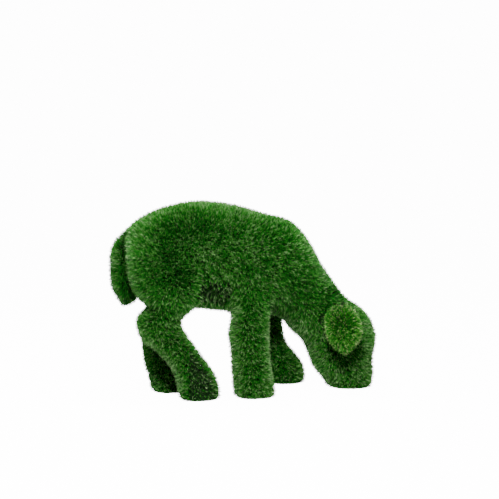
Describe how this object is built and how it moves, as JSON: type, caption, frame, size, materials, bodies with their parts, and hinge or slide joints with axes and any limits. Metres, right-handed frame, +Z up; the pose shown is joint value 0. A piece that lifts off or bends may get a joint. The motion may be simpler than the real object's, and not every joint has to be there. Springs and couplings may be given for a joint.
{
  "type": "grazing lamb sculpture",
  "caption": "Garden figure of a lamb grazing with its muzzle to the ground, wrapped all over in green artificial turf.",
  "frame": {"origin": "on the ground, under the middle of the figure's bounding box", "axes": "+X towards the head, +Y towards the lamb's left side, +Z up"},
  "size_m": [0.8932, 0.3668, 0.6353],
  "materials": {
    "turf": "short dense artificial grass pile"
  },
  "bodies": {
    "root": {"lamb_body": "turf", "ear_right": "turf", "ear_left": "turf", "tail": "turf"}
  },
  "joints": []
}
